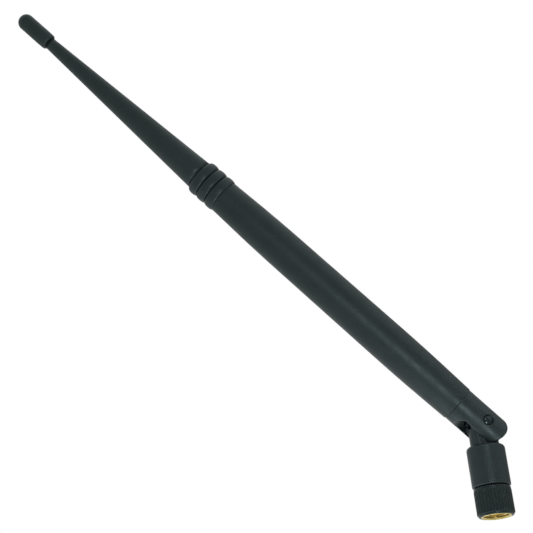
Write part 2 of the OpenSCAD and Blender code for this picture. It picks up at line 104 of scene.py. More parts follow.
def tree(node):
    if node not in trees:
        faces = [tuple(p.vertices) for p in frame["nodes"][node].data.polygons]
        trees[node] = BVHTree.FromPolygons([Vector(p) for p in node_points(node)], faces)
    return trees[node]


def reach(node, axis, start, direction):
    """Distance in millimetres from a local point to the CAD node's surface along a local direction."""
    origin = Vector(axis.placed(start))
    heading = Vector(np.array(direction, float) @ axis.rows).normalized()
    return tree(node).ray_cast(origin, heading)[3]


def outer_radius(node, axis, height):
    return FAR - reach(node, axis, (0, FAR, height), (0, -1, 0))


def inner_radius(node, axis, height):
    return reach(node, axis, (0, 0, height), (0, 1, 0))


def span(node, axis):
    """Lowest and highest place of a CAD node along an axis."""
    z = axis.local(node_points(node))[:, 2]
    return z.min(), z.max()


def joint_place(name):
    found = next(j for j in frame["joints"] if j["name"] == name)
    return np.array(found["pos_m"]) / MM


PLUG = Axis((0, 0, 0), (0, 0, 1))
HINGE = joint_place("blade_tilt")
BLADE = Axis(HINGE, node_points("tip_cap").mean(0) - HINGE)
BARREL = Axis(HINGE, (0, 0, 1))


# ---- Turned pieces ----

def filleted(corners):
    """Outline from (radius, height, rounding) corners, with arcs and a guard point beside each arc."""
    out = []
    count = len(corners)
    share = [0.45 if corner[2] > 0 else 0.98 for corner in corners]
    for i, (r, z, rounding) in enumerate(corners):
        here = np.array([r, z], float)
        if rounding <= 0:
            out.append(here)
            continue
        before = np.array(corners[i - 1][:2], float) - here
        after = np.array(corners[(i + 1) % count][:2], float) - here
        low, high = np.linalg.norm(before), np.linalg.norm(after)
        before, after = before / low, after / high
        half = math.acos(np.clip(before @ after, -1, 1)) / 2
        cut = min(rounding / math.tan(half), share[i - 1] * low - GUARD, share[(i + 1) % count] * high - GUARD)
        if cut <= 0:
            out.append(here)
            continue
        steps = 4 if rounding < 1 else 12
        bisector = (before + after) / np.linalg.norm(before + after)
        centre = here + bisector * cut / math.cos(half)
        start, end = here + before * cut, here + after * cut
        out.append(start + before * GUARD)
        for k in range(steps + 1):
            t = k / steps
            chord = start * (1 - t) + end * t - centre
            out.append(centre + chord / np.linalg.norm(chord) * cut * math.tan(half))
        out.append(end + after * GUARD)
    return np.array(out)


def bending(outline):
    """How sharply an outline turns at each point: above 0 at an outer edge, below 0 in a groove."""
    back = outline - np.roll(outline, 1, 0)
    ahead = np.roll(outline, -1, 0) - outline
    a, b = np.linalg.norm(back, axis=1), np.linalg.norm(ahead, axis=1)
    cross = back[:, 0] * ahead[:, 1] - back[:, 1] * ahead[:, 0]
    return 2 * cross / np.maximum(a * b * (a + b), 1e-9)


def new_piece(name, points, faces, edge, slot):
    """A mesh object from points in millimetres, with the edge attribute that the materials read."""
    mesh = bpy.data.meshes.new(name)
    mesh.from_pydata((points * MM).tolist(), [], faces)
    mesh.validate()
    attribute = mesh.attributes.new("edge", "FLOAT", "POINT")
    attribute.data.foreach_set("value", edge.astype(np.float32))
    mesh.shade_smooth()
    mesh.materials.append(materials[slot])
    piece = bpy.data.objects.new(name, mesh)
    bpy.context.scene.collection.objects.link(piece)
    return piece


# EDGE_GAIN scales both edge wear and the painted shade in grooves.
EDGE_GAIN = 0.3       # share of full edge wear for each 1/mm of bending


def turned(name, outline, axis, slot, turn=None):
    """A solid of revolution. The outline is closed and runs up the outside and down the bore or axis."""
    outline = np.asarray(outline, float)
    angle = np.arange(SEGMENTS) * 2 * math.pi / SEGMENTS
    ring = np.column_stack([np.cos(angle), np.sin(angle)])
    wear = np.clip(bending(outline) * EDGE_GAIN, -1, 1)
    points, rows, edge = [], [], []
    for (r, z), e in zip(outline, wear):
        if r < 1e-6:
            rows.append([len(points)] * SEGMENTS)
            points.append((0, 0, z))
            edge.append(e)
        else:
            rows.append(list(range(len(points), len(points) + SEGMENTS)))
            points += [(c * r, s * r, z) for c, s in ring]
            edge += [e] * SEGMENTS
    faces = []
    for i, low in enumerate(rows):
        high = rows[(i + 1) % len(rows)]
        if low[0] == low[1] and high[0] == high[1]:
            continue
        for j in range(SEGMENTS):
            k = (j + 1) % SEGMENTS
            loop = [low[j], low[k], high[k], high[j]]
            faces.append([v for n, v in enumerate(loop) if v != loop[n - 1]])
    points = np.array(points, float)
    if turn is None:
        turn = [np.eye(3)]
    all_points = np.concatenate([points @ m.T for m in turn])
    all_faces = [[v + len(points) * n for v in f] for n in range(len(turn)) for f in faces]
    return new_piece(name, axis.placed(all_points), all_faces, np.tile(edge, len(turn)), slot)


def along(low, high, step):
    return np.linspace(low, high, max(2, int(math.ceil((high - low) / step)) + 1))


# ---- Moulded pieces, from a signed distance in millimetres ----

def both(a, b, rounding):
    """What lies in a and in b, with a rounded outer edge where they meet."""
    corner = np.hypot(np.maximum(a + rounding, 0), np.maximum(b + rounding, 0))
    return np.minimum(-rounding, np.maximum(a, b)) + corner


def either(a, b, rounding):
    """What lies in a or in b, with a rounded inner corner where they meet."""
    return -both(-a, -b, rounding)


def without(a, b, rounding=0.0):
    return both(a, -b, rounding) if rounding > 0 else np.maximum(a, -b)


def slab(v, low, high):
    return np.abs(v - (low + high) / 2) - (high - low) / 2


def rounded_rod(r, z, radius, low, high, low_round, high_round):
    rounding = np.where(z > (low + high) / 2, high_round, low_round)
    return both(r - radius, slab(z, low, high), rounding)


CORNERS = np.array(list(product((0, 1), repeat=3)))
CUBE_EDGES = [(a, b) for a in range(8) for b in range(a + 1, 8) if np.abs(CORNERS[a] - CORNERS[b]).sum() == 1]


def distance_slope(distance, points, step=0.01):
    shifts = np.eye(3) * step
    return np.column_stack([distance(points + s) - distance(points - s) for s in shifts]) / (2 * step)


def moulded(name, distance, low, high, cell, axis, slot):
    """The surface where the distance is 0, as even quads about one cell across."""
    ticks = [np.arange(low[i] - 2 * cell, high[i] + 2.5 * cell, cell) for i in range(3)]
    shape = [len(t) for t in ticks]
    grid = np.stack(np.meshgrid(*ticks, indexing="ij"), -1).reshape(-1, 3)
    value = distance(grid).reshape(shape)
    inside = value < 0
    cells = [n - 1 for n in shape]

    def corner(array, c):
        return array[c[0]:cells[0] + c[0], c[1]:cells[1] + c[1], c[2]:cells[2] + c[2]]

    filled = sum(corner(inside, c).astype(np.int8) for c in CORNERS)
    active = (filled > 0) & (filled < 8)
    number = np.full(cells, -1)
    number[active] = np.arange(active.sum())
    where = np.argwhere(active)
    level = np.stack([corner(value, c)[active] for c in CORNERS], 1)
    total = np.zeros((len(where), 3))
    crossed = np.zeros(len(where))
    for a, b in CUBE_EDGES:
        cut = (level[:, a] < 0) != (level[:, b] < 0)
        gap = np.where(cut, level[:, a] - level[:, b], 1)
        t = np.where(cut, level[:, a] / gap, 0)[:, None]
        total += np.where(cut[:, None], CORNERS[a] * (1 - t) + CORNERS[b] * t, 0)
        crossed += cut
    origin = np.array([t[0] for t in ticks])
    points = origin + (where + total / crossed[:, None]) * cell
    for _ in range(3):
        slope = distance_slope(distance, points)
        scale = distance(points) / np.maximum((slope ** 2).sum(1), 0.05)
        points -= slope * np.clip(scale, -cell / 2, cell / 2)[:, None]
    quads = []
    for i in range(3):
        j, k = (i + 1) % 3, (i + 2) % 3
        first = [slice(1, -1)] * 3
        second = [slice(1, -1)] * 3
        first[i], second[i] = slice(0, -1), slice(1, None)
        start, end = inside[tuple(first)], inside[tuple(second)]
        spots = np.argwhere(start != end)
        leaving = start[tuple(spots.T)]
        spots[:, j] += 1
        spots[:, k] += 1
        ring = []
        for dj, dk in ((0, 0), (-1, 0), (-1, -1), (0, -1)):
            at = spots.copy()
            at[:, j] += dj
            at[:, k] += dk
            ring.append(number[tuple(at.T)])
        ring = np.stack(ring, 1)
        ring[~leaving] = ring[~leaving][:, ::-1]
        quads.append(ring)
    quads = np.concatenate(quads)
    probe = 1.2 * cell
    spread = sum(distance(points + s) + distance(points - s) for s in np.eye(3) * probe)
    bend = (spread - 6 * distance(points)) / probe ** 2
    edge = np.clip((bend - 0.3) * EDGE_GAIN, -1, 1)
    return new_piece(name, axis.placed(points), quads.tolist(), edge, slot)


# ---- Procedural materials ----

class Paint:
    """A node material that is built up step by step. Coordinates are the object's, in metres."""

    def __init__(self, name):
        self.material = bpy.data.materials.new(name)
        self.material.use_nodes = True
        self.tree = self.material.node_tree
        self.tree.nodes.clear()
        self.surface = self.add("ShaderNodeBsdfPrincipled")
        output = self.add("ShaderNodeOutputMaterial")
        self.tree.links.new(self.surface.outputs["BSDF"], output.inputs["Surface"])
        self.place = self.add("ShaderNodeTexCoord").outputs["Object"]
        self.edge = self.add("ShaderNodeAttribute")
        self.edge.attribute_name = "edge"

    def add(self, kind, **settings):
        node = self.tree.nodes.new(kind)
        for key, value in settings.items():
            setattr(node, key, value)
        return node

    def feed(self, socket, value):
        if isinstance(value, bpy.types.NodeSocket):
            self.tree.links.new(value, socket)
        else:
            socket.default_value = value

    def set(self, **values):
        for key, value in values.items():
            self.feed(self.surface.inputs[key.replace("_", " ")], value)

    def sum(self, operation, a, b=0.0):
        node = self.add("ShaderNodeMath", operation=operation)
        self.feed(node.inputs[0], a)
        self.feed(node.inputs[1], b)
        return node.outputs[0]

    def noise(self, size_mm, detail=2.0, rough=0.5, stretch=(1, 1, 1)):
        """Noise from 0 to 1 whose blotches are about size_mm across."""
        mapping = self.add("ShaderNodeMapping")
        mapping.inputs["Scale"].default_value = stretch
        self.feed(mapping.inputs["Vector"], self.place)
        node = self.add("ShaderNodeTexNoise")
        node.inputs["Scale"].default_value = 1 / (size_mm * MM)
        node.inputs["Detail"].default_value = detail
        node.inputs["Roughness"].default_value = rough
        self.feed(node.inputs["Vector"], mapping.outputs[0])
        return node.outputs[0]

    def pits(self, size_mm):
        node = self.add("ShaderNodeTexVoronoi", feature="SMOOTH_F1")
        node.inputs["Scale"].default_value = 1 / (size_mm * MM)
        self.feed(node.inputs["Vector"], self.place)
        return node.outputs["Distance"]

    def spread(self, value, low, high, to_low, to_high):
        node = self.add("ShaderNodeMapRange", interpolation_type="SMOOTHSTEP")
        for socket, v in zip(node.inputs, (value, low, high, to_low, to_high)):
            self.feed(socket, v)
        return node.outputs[0]

    def blend(self, share, a, b):
        node = self.add("ShaderNodeMix", data_type="RGBA")
        self.feed(node.inputs["Factor"], share)
        for socket, value in zip((node.inputs[6], node.inputs[7]), (a, b)):
            self.feed(socket, value if isinstance(value, bpy.types.NodeSocket) else (*value, 1))
        return node.outputs[2]

    def relief(self, height, depth_mm, under=None):
        node = self.add("ShaderNodeBump")
        node.inputs["Distance"].default_value = depth_mm * MM
        self.feed(node.inputs["Height"], height)
        if under is not None:
            self.feed(node.inputs["Normal"], under)
        return node.outputs[0]

    def worn(self, gain=1.0):
        """Share of wear, from 0 to 1 on outer edges, broken up by noise."""
        raised = self.sum("MULTIPLY", self.edge.outputs["Fac"], gain)
        broken = self.spread(self.noise(0.9, 3), 0.3, 0.7, 0.45, 1)
        return self.sum("MULTIPLY", self.spread(raised, 0.05, 0.8, 0, 1), broken)

    def painted_groove_shade(self):
        """Share of painted shade, from 0 to 1 in grooves and inner corners."""
        return self.spread(self.edge.outputs["Fac"], -0.7, -0.05, 1, 0)


def plastic(name, dark, light, roughness, grain_mm, grain_depth_mm, edge_lift, gloss=0.5):
    """Moulded plastic with a spark-eroded grain, cloudy colour, rubbed edges and painted shade in grooves."""
    paint = Paint(name)
    clouds = paint.spread(paint.noise(9, 3, 0.6), 0.3, 0.7, 0, 1)
    grain = paint.noise(grain_mm, 3, 0.65)
    specks = paint.spread(paint.noise(grain_mm * 1.7, 2), 0.62, 0.78, 0, 0.5)
    colour = paint.blend(clouds, dark, light)
    lifted = [c * edge_lift for c in light]
    colour = paint.blend(specks, colour, lifted)
    colour = paint.blend(paint.sum("MULTIPLY", paint.worn(), 0.6), colour, lifted)
    # Painted shade: grooves and inner corners darkened towards a third of the dark tone.
    colour = paint.blend(paint.sum("MULTIPLY", paint.painted_groove_shade(), 0.6), colour, [c * 0.35 for c in dark])
    rubbed = paint.sum("MULTIPLY", paint.worn(), -0.1)
    patchy = paint.spread(paint.noise(4, 3), 0.25, 0.75, roughness - 0.05, roughness + 0.06)
    coarse = paint.relief(grain, grain_depth_mm)
    fine = paint.relief(paint.pits(grain_mm * 0.6), grain_depth_mm * 0.5, coarse)
    peel = paint.relief(paint.noise(1.1, 2, 0.6), 0.06, fine)
    wavy = paint.relief(paint.noise(4.5, 2, 0.55), 0.1, peel)
    paint.set(Base_Color=colour, Roughness=paint.sum("ADD", patchy, rubbed), Normal=wavy)
    paint.surface.inputs["Specular Tint"].default_value = (0.73, 0.99, 1.0, 1.0)
    paint.surface.inputs["Specular IOR Level"].default_value = gloss
    return paint.material


def turned_metal(name, dark, light, roughness, groove_mm, depth_mm):
    """Metal with fine turning marks round Z, uneven tarnish, brighter edges and painted shade in grooves."""
    paint = Paint(name)
    flat = paint.add("ShaderNodeVectorMath", operation="MULTIPLY")
    flat.inputs[1].default_value = (1, 1, 0)
    paint.feed(flat.inputs[0], paint.place)
    radius = paint.add("ShaderNodeVectorMath", operation="LENGTH")
    paint.feed(radius.inputs[0], flat.outputs[0])
    split = paint.add("ShaderNodeSeparateXYZ")
    paint.feed(split.inputs[0], paint.place)
    travel = paint.sum("ADD", radius.outputs["Value"], split.outputs["Z"])
    wander = paint.sum("MULTIPLY", paint.noise(1.5, 2), groove_mm * MM)
    phase = paint.sum("MULTIPLY", paint.sum("ADD", travel, wander), 2 * math.pi / (groove_mm * MM))
    marks = paint.sum("SINE", phase)
    tarnish = paint.spread(paint.noise(2.5, 4, 0.6), 0.3, 0.72, 0, 1)
    colour = paint.blend(tarnish, light, dark)
    bright = [min(1, c * 1.15) for c in light]
    colour = paint.blend(paint.worn(), colour, bright)
    # Painted shade: grooves and thread roots darkened towards half the dark tone.
    colour = paint.blend(paint.painted_groove_shade(), colour, [c * 0.5 for c in dark])
    rough = paint.spread(paint.noise(0.8, 3), 0.3, 0.7, roughness - 0.05, roughness + 0.08)
    scuffs = paint.relief(paint.noise(0.25, 3, 0.7), depth_mm)
    paint.set(Base_Color=colour, Metallic=1.0, Roughness=rough, Normal=paint.relief(marks, depth_mm, scuffs))
    return paint.material


def brushed_metal(name, dark, light, roughness, stretch):
    """Drawn or rolled metal: fine lines along one direction, with patches of oxide."""
    paint = Paint(name)
    lines = paint.noise(0.3, 4, 0.7, stretch)
    oxide = paint.spread(paint.noise(3, 4, 0.6), 0.35, 0.7, 0, 1)
    colour = paint.blend(oxide, light, dark)
    rough = paint.spread(lines, 0.3, 0.7, roughness - 0.06, roughness + 0.1)
    paint.set(Base_Color=colour, Metallic=1.0, Roughness=rough, Normal=paint.relief(lines, 0.006))
    return paint.material


def soft(name, dark, light, roughness, grain_mm, depth_mm, clear=0.0):
    """Rubber, silicone, fluoropolymer or foam: a matt body with a fine uneven skin."""
    paint = Paint(name)
    colour = paint.blend(paint.spread(paint.noise(grain_mm * 12, 3), 0.3, 0.7, 0, 1), dark, light)
    skin = paint.relief(paint.noise(grain_mm, 3, 0.6), depth_mm)
    rough = paint.spread(paint.noise(grain_mm * 5, 2), 0.3, 0.7, roughness - 0.07, roughness + 0.07)
    paint.set(Base_Color=colour, Roughness=rough, Normal=paint.relief(paint.pits(grain_mm * 3), depth_mm, skin))
    paint.surface.inputs["Coat Weight"].default_value = clear
    paint.surface.inputs["Coat Roughness"].default_value = 0.2
    return paint.material


def braided(name):
    """Silvered copper braid: two crossing sets of strands."""
    paint = Paint(name)
    strands = []
    for lean in (1, -1):
        mapping = paint.add("ShaderNodeMapping")
        mapping.inputs["Rotation"].default_value = (lean * math.radians(55), 0, lean * math.radians(35))
        paint.feed(mapping.inputs["Vector"], paint.place)
        wave = paint.add("ShaderNodeTexWave", wave_profile="SIN")
        wave.inputs["Scale"].default_value = 1 / (1.6 * MM)
        wave.inputs["Distortion"].default_value = 0.4
        paint.feed(wave.inputs["Vector"], mapping.outputs[0])
        strands.append(wave.outputs["Fac"])
    weave = paint.sum("MAXIMUM", strands[0], strands[1])
    colour = paint.blend(paint.spread(weave, 0.3, 0.9, 1, 0), (0.72, 0.7, 0.66), (0.3, 0.2, 0.13))
    paint.set(Base_Color=colour, Metallic=1.0, Roughness=0.34, Normal=paint.relief(weave, 0.05))
    return paint.material


materials = {
    "blade_plastic": plastic("blade_plastic", (0.0085, 0.0125, 0.0118), (0.0125, 0.0165, 0.0165), 0.43, 0.34, 0.022, 2.0),
    "knuckle_plastic": plastic("knuckle_plastic", (0.009, 0.0125, 0.012), (0.013, 0.0165, 0.0168), 0.4, 0.3, 0.02, 2.2),
    "nut_plastic": plastic("nut_plastic", (0.0042, 0.0066, 0.0056), (0.0068, 0.0096, 0.0084), 0.34, 0.26, 0.014, 2.4, 0.41),
    "stud_plastic": plastic("stud_plastic", (0.004, 0.0055, 0.006), (0.007, 0.009, 0.0095), 0.13, 0.3, 0.003, 2.0),
    "gold_plate": turned_metal("gold_plate", (0.6, 0.47, 0.14), (0.79, 0.64, 0.25), 0.24, 0.11, 0.002),
    "brass": turned_metal("brass", (0.42, 0.27, 0.11), (0.72, 0.52, 0.24), 0.32, 0.2, 0.004),
    "copper": brushed_metal("copper", (0.42, 0.16, 0.07), (0.85, 0.42, 0.24), 0.28, (1, 1, 1)),
    "spring_steel": brushed_metal("spring_steel", (0.34, 0.34, 0.35), (0.62, 0.62, 0.64), 0.3, (1, 8, 8)),
    "fluoropolymer": soft("fluoropolymer", (0.78, 0.77, 0.72), (0.9, 0.9, 0.87), 0.38, 0.15, 0.008),
    "foam": soft("foam", (0.62, 0.62, 0.58), (0.8, 0.8, 0.76), 0.85, 0.5, 0.08),
    "cable_jacket": soft("cable_jacket", (0.05, 0.022, 0.01), (0.085, 0.042, 0.02), 0.32, 0.2, 0.006, 0.4),
    "cable_braid": braided("cable_braid"),
    "silicone": soft("silicone", (0.22, 0.045, 0.03), (0.32, 0.08, 0.05), 0.55, 0.25, 0.012),
    "black_rubber": soft("black_rubber", (0.01, 0.01, 0.01), (0.022, 0.022, 0.022), 0.62, 0.25, 0.015),
}
for subpart in frame["record"]["subparts"]:
    node = frame["nodes"][subpart["node"]]
    node.data.materials.clear()
    node.data.materials.append(materials[subpart["material_slot"]])


# ---- Blade ----

def lower_sheath():
    foot, top = span("lower_sheath", BLADE)
    heights = along(foot + 0.6, top - 0.6, 2.0)
    outside = [outer_radius("lower_sheath", BLADE, z) for z in heights]
    smooth = np.convolve(np.pad(outside, 3, mode="reflect", reflect_type="odd"), np.ones(7) / 7, "valid")
    bores = [inner_radius("lower_sheath", BLADE, z) for z in heights]
    corners = [(smooth[0], foot, 0.22)]
    corners += [(r, z, 0) for r, z in zip(smooth[1:-1], heights[1:-1])]
    corners += [(smooth[-1], top, 0.25), (bores[-1], top, 0.1)]
    corners += [(r, z, 0) for r, z in zip(bores[-2:0:-1], heights[-2:0:-1])]
    corners += [(bores[0], foot, 0.1)]
    return turned("sheath_moulding", filleted(corners), BLADE, "blade_plastic")


def upper_mast():
    foot, plug_end = span("upper_mast", BLADE)
    cap_edge = span("tip_cap", BLADE)[0]
    foot_r = outer_radius("upper_mast", BLADE, foot + 0.05)
    neck_r = outer_radius("upper_mast", BLADE, cap_edge - 0.05)
    plug_r = outer_radius("upper_mast", BLADE, cap_edge + 1)
    bore_r = inner_radius("upper_mast", BLADE, foot + 0.05)
    bore_end = foot + reach("upper_mast", BLADE, (0, 0, foot), (0, 0, 1))
    bore_tip_r = inner_radius("upper_mast", BLADE, bore_end - 0.05)
    corners = [(foot_r, foot, 0)]
    corners += [(foot_r + (neck_r - foot_r) * t, foot + (cap_edge - foot) * t, 0) for t in along(0, 1, 0.03)[1:-1]]
    corners += [(neck_r, cap_edge, 0), (plug_r, cap_edge, 0), (plug_r, plug_end, 0.3), (0, plug_end, 0)]
    corners += [(0, bore_end, 0), (bore_tip_r, bore_end, 0), (bore_r, foot, 0)]
    return turned("mast_moulding", filleted(corners), BLADE, "blade_plastic")


def tip_cap():
    foot, tip = span("tip_cap", BLADE)
    tip += 0.5
    radius = outer_radius("tip_cap", BLADE, (foot + tip) / 2)
    bore_r = inner_radius("tip_cap", BLADE, foot + 1)
    bore_end = foot + reach("tip_cap", BLADE, (0, 0, foot + 0.1), (0, 0, 1))
    swell = 0.06
    corners = [(bore_r, foot, 0), (radius - 0.12, foot, 0.95)]
    corners += [(radius + swell * math.sin(math.pi * t) - 0.06, foot + (tip - foot) * t * 0.8, 0) for t in (0.25, 0.5, 0.75)]
    corners += [(radius, tip, radius * 0.94), (0, tip, 0), (0, bore_end, 0), (bore_r, bore_end, 0.3)]
    return turned("tip_cap_moulding", filleted(corners), BLADE, "blade_plastic")


def ring_collar():
    """Bands with rounded shoulders and narrow grooves, the first one sloping to the mast."""
    low, high = span("ring_collar", BLADE)
    foot = span("lower_sheath", BLADE)[1]
    top = span("upper_mast", BLADE)[0]
    bands = 3
    pitch = (top - foot) / bands
    crest_r = outer_radius("ring_collar", BLADE, foot + pitch / 2)
    groove_r = crest_r - 0.75
    slit = [(0.05, -0.12), (0.5, -0.07), (0.5, 0.07), (0.05, 0.12)]
    mast_r = outer_radius("upper_mast", BLADE, top + 0.1)
    low_r = outer_radius("ring_collar", BLADE, foot - 1)
    top_r = outer_radius("ring_collar", BLADE, top + 0.1)
    end_r = outer_radius("ring_collar", BLADE, high - 0.05)
    bore_r = inner_radius("ring_collar", BLADE, foot)
    corners = [(bore_r, low, 0.1), (low_r, low, 0.2), (low_r, foot, 0), (groove_r, foot + 0.02, 0)]
    for i in range(bands):
        base = foot + i * pitch
        for t in along(0.06, 0.94, 0.08):
            crown = (1 - abs(2 * t - 1) ** 2.6) ** 0.62
            side_r = mast_r if i == bands - 1 and t > 0.5 else groove_r
            corners.append((side_r + (crest_r - side_r) * crown, base + pitch * t, 0))
        if i < bands - 1:
            corners += [(groove_r - drop, base + pitch + rise, 0) for drop, rise in slit]
    corners += [(mast_r + 0.06, top - 0.1, 0), (mast_r - 0.02, top, 0)]
    corners += [(top_r, top, 0), (end_r, high, 0.2), (bore_r, high, 0.1)]
    return turned("ring_collar_moulding", filleted(corners), BLADE, "blade_plastic")


def clevis():
    low = span("clevis", BLADE)[0]
    spigot_top = span("clevis", BLADE)[1]
    seam = span("lower_sheath", BLADE)[0]
    fork_r = outer_radius("clevis", BLADE, seam - 2)
    spigot_r = outer_radius("clevis", BLADE, seam + 3)
    ear_r = -low
    slot_half = reach("clevis", BLADE, (0, 0, 3), (0, 1, 0))
    roof_r = reach("clevis", BLADE, (0, 3, 0), (math.sin(0.5), 0, math.cos(0.5)))
    slit_half = inner_radius("clevis", BLADE, seam - 3)
    core_r = inner_radius("clevis", BLADE, spigot_top - 1)
    core_z = 16
    stud_hole_r = 1.755
    recess_r, recess_y = 2.28, 6.8
    rib_r, rib_z = 0.4, roof_r + 0.2
    flare_start, flare_slope = 3.9, 0.89

    def distance(p):
        x, y, z = p.T
        r = np.hypot(x, y)
        body = rounded_rod(r, z, fork_r, low - 1, seam, 0.2, 0.24)
        body = np.minimum(body, rounded_rod(r, z, spigot_r, seam - 2, spigot_top, 0.3, 0.3))
        body = both(body, np.hypot(x, np.minimum(z, 0)) - ear_r, 0.35)
        rod = np.hypot(x, z) - roof_r
        arch = np.hypot(y, z) - roof_r
        flare = (arch + (x + flare_start) * flare_slope) / math.hypot(1, flare_slope)
        throat = np.maximum(np.minimum(arch, flare), x)
        below = np.maximum(x - roof_r, z)
        slot = np.maximum(slab(y, -slot_half, slot_half), np.minimum(np.minimum(rod, throat), below))
        body = without(body, slot, 0.22)
        for rib_y in (-1, 1):
            middle = rib_y * (slot_half + slit_half) / 2
            rib = np.maximum(np.hypot(x, z - rib_z) - rib_r, np.abs(y - middle) - (slot_half - slit_half) / 2)
            body = np.minimum(body, rib)
        body = without(body, np.maximum(r - slit_half, -z), 0.12)
        body = without(body, np.maximum(r - core_r, core_z - z))
        body = without(body, np.hypot(x, z) - stud_hole_r)
        return without(body, np.maximum(np.hypot(x, z) - recess_r, recess_y - np.abs(y)), 0.14)

    return moulded(
        "clevis_moulding", distance, (-fork_r, -fork_r, low), (fork_r, fork_r, spigot_top), 0.19, BLADE,
        "knuckle_plastic"
    )


def pivot_studs():
    """Two studs with polished domed heads."""
    axis = Axis(HINGE, BLADE.rows[2])
    p = axis.local(node_points("pivot_studs"))
    reach_y = np.abs(p[:, 1])
    inner, outer = reach_y.min(), reach_y.max()
    shank_r = 1.75
    seat = 6.8
    head_r = np.hypot(p[:, 0], p[:, 2])[reach_y > seat + 0.02].max()
    rim, crown = seat + 0.1, outer + 0.3
    ball_r = (head_r ** 2 + (crown - rim) ** 2) / (2 * (crown - rim))
    corners = [(0, inner, 0), (shank_r, inner, 0.25), (shank_r, seat, 0), (head_r, seat, 0)]
    for t in along(0, 1, 0.1)[:-1]:
        r = head_r * (1 - t)
        corners.append((r, crown - ball_r + math.sqrt(ball_r ** 2 - r ** 2), 0))
    corners.append((0, crown, 0))
    outward = np.array([[1, 0, 0], [0, 0, 1], [0, -1, 0]], float)
    flipped = np.array([[1, 0, 0], [0, 0, -1], [0, 1, 0]], float)
    return turned("stud_pair", filleted(corners), axis, "stud_plastic", turn=[outward, flipped])


# ---- Swivel barrel, nut and plug ----

def swivel_barrel():
    low, _ = span("swivel_barrel", BARREL)
    barrel_r = outer_radius("swivel_barrel", BARREL, low + 6)
    tongue_t = 2 * (FAR - reach("swivel_barrel", BARREL, (0, FAR, 3), (0, -1, 0)))
    tongue_r = FAR - reach("swivel_barrel", BARREL, (FAR, 3, 0), (-1, 0, 0))
    shoulder = FAR - reach("swivel_barrel", BARREL, (0, barrel_r - 2, FAR), (0, 0, -1))
    scoop_r = reach("swivel_barrel", BARREL, (0, barrel_r - 1, 0), (0, 0, -1))
    stem_r = inner_radius("swivel_barrel", BARREL, low + 1)
    stem_top = -18.5
    groove_r = inner_radius("swivel_barrel", BARREL, -20.5)
    pocket_r = 3.0
    slit_half = 1.5
    stud_hole_r = 1.8
    notch_r, notch_at = 0.8, tongue_r + 0.4

    def distance(p):
        x, y, z = p.T
        r = np.hypot(x, y)
        body = rounded_rod(r, z, barrel_r, low, shoulder, 0.55, 1.6)
        body = without(body, np.hypot(x, z) - scoop_r, 0.3)
        neck = np.maximum(r - tongue_r, slab(z, -scoop_r - 1.4, 0))
        disc = np.minimum(np.hypot(x, z) - tongue_r, neck)
        tongue = both(disc, np.abs(y) - tongue_t / 2, 0.25)
        body = either(body, tongue, 0.25)
        for tilt in (0, 45, 90):
            turn = math.radians(tilt)
            notch = np.hypot(x + notch_at * math.sin(turn), z - notch_at * math.cos(turn)) - notch_r
            body = without(body, notch, 0.12)
        slit = np.maximum(x - slit_half, -slit_half - 0.3 - z)
        body = without(body, np.maximum(np.abs(y) - slit_half, slit), 0.12)
        body = without(body, np.hypot(x, z) - stud_hole_r)
        body = without(body, np.maximum(r - slit_half, slab(z, stem_top, 0)))
        body = without(body, np.maximum(r - pocket_r, slab(z, stem_top, stem_top + 8)))
        body = without(body, np.maximum(r - groove_r, slab(z, -21.1, -20)))
        return without(body, np.maximum(r - stem_r, slab(z, low - 1, stem_top)), 0.15)

    return moulded(
        "barrel_moulding", distance, (-barrel_r, -barrel_r, low), (barrel_r, barrel_r, tongue_r), 0.19, BARREL,
        "knuckle_plastic"
    )


def nut_grip():
    """The ribbed shell of the coupling nut: rounded rib ends, a plain mouth band and a chamfered collar."""
    low, top = span("nut_grip", PLUG)
    bore = inner_radius("nut_grip", PLUG, 5)
    hub_bore = inner_radius("nut_grip", PLUG, top - 0.2)
    shelf = span("nut_insert", PLUG)[1] + 0.02
    nut_r = np.hypot(*node_points("nut_grip")[:, :2].T).max()
    band_r = outer_radius("nut_grip", PLUG, low + 0.7)
    collar_r = outer_radius("nut_grip", PLUG, top - 1)
    rib_low, rib_high = 0.95, 10.5
    ribs, groove_r = 36, 0.42
    pitch = 2 * math.pi / ribs

    def distance(p):
        x, y, z = p.T
        r = np.hypot(x, y)
        angle = np.arctan2(y, x)
        angle -= np.round(angle / pitch) * pitch
        groove = np.hypot(r * np.cos(angle) - nut_r - 0.2, r * np.sin(angle)) - groove_r
        ribbed = both(without(r - nut_r, groove, 0.12), slab(z, rib_low, rib_high), 0.28)
        band = rounded_rod(r, z, band_r, low, rib_high, 0.6, 0.1)
        collar = both(r - collar_r, slab(z, rib_high - 0.02, top), 0.12)
        collar = both(collar, (r - collar_r + z - top + 0.45) / math.sqrt(2), 0.2)
        body = np.minimum(np.minimum(ribbed, collar), np.maximum(band, r - nut_r + 0.4))
        body = without(body, np.maximum(r - bore, z - shelf), 0.08)
        return without(body, r - hub_bore, 0.1)

    return moulded(
        "nut_grip_moulding", distance, (-nut_r, -nut_r, low), (nut_r, nut_r, top), 0.135, PLUG, "nut_plastic"
    )


